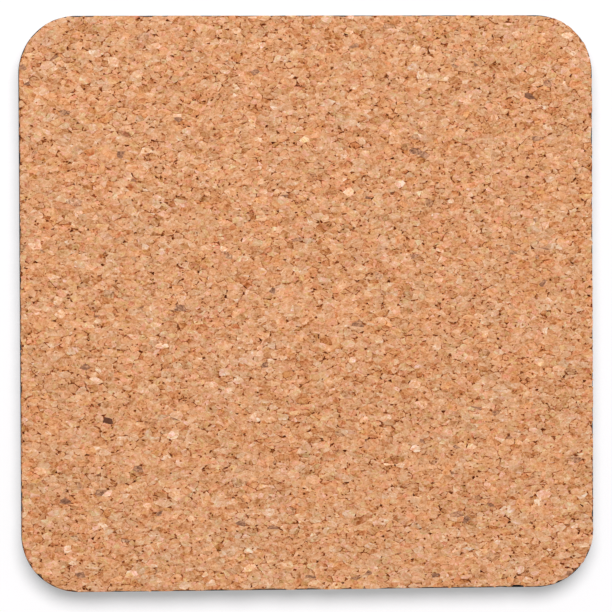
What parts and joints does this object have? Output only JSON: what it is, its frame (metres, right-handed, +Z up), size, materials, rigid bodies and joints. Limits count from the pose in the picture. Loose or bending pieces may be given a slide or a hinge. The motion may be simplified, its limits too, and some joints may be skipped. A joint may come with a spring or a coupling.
{
  "type": "drink coaster",
  "caption": "Square drink coaster with rounded corners: an agglomerated cork sheet glued to a dark-edged board with a thin laminate face, lying cork side up.",
  "frame": {"origin": "centre of the underside, on the table", "axes": "+Z up through the stack, from the laminate face to the cork; X and Y along the sides, with +Y towards the top of the picture"},
  "size_m": [0.095, 0.095, 0.005],
  "materials": {
    "cork": "matte",
    "cork_glue": "satin",
    "hardboard": "satin",
    "face_glue": "satin",
    "laminate": "semi-gloss"
  },
  "bodies": {
    "root": {"cork_sheet": "cork", "cork_glue_film": "cork_glue", "core_board": "hardboard", "face_glue_film": "face_glue", "face_laminate": "laminate"}
  },
  "joints": []
}
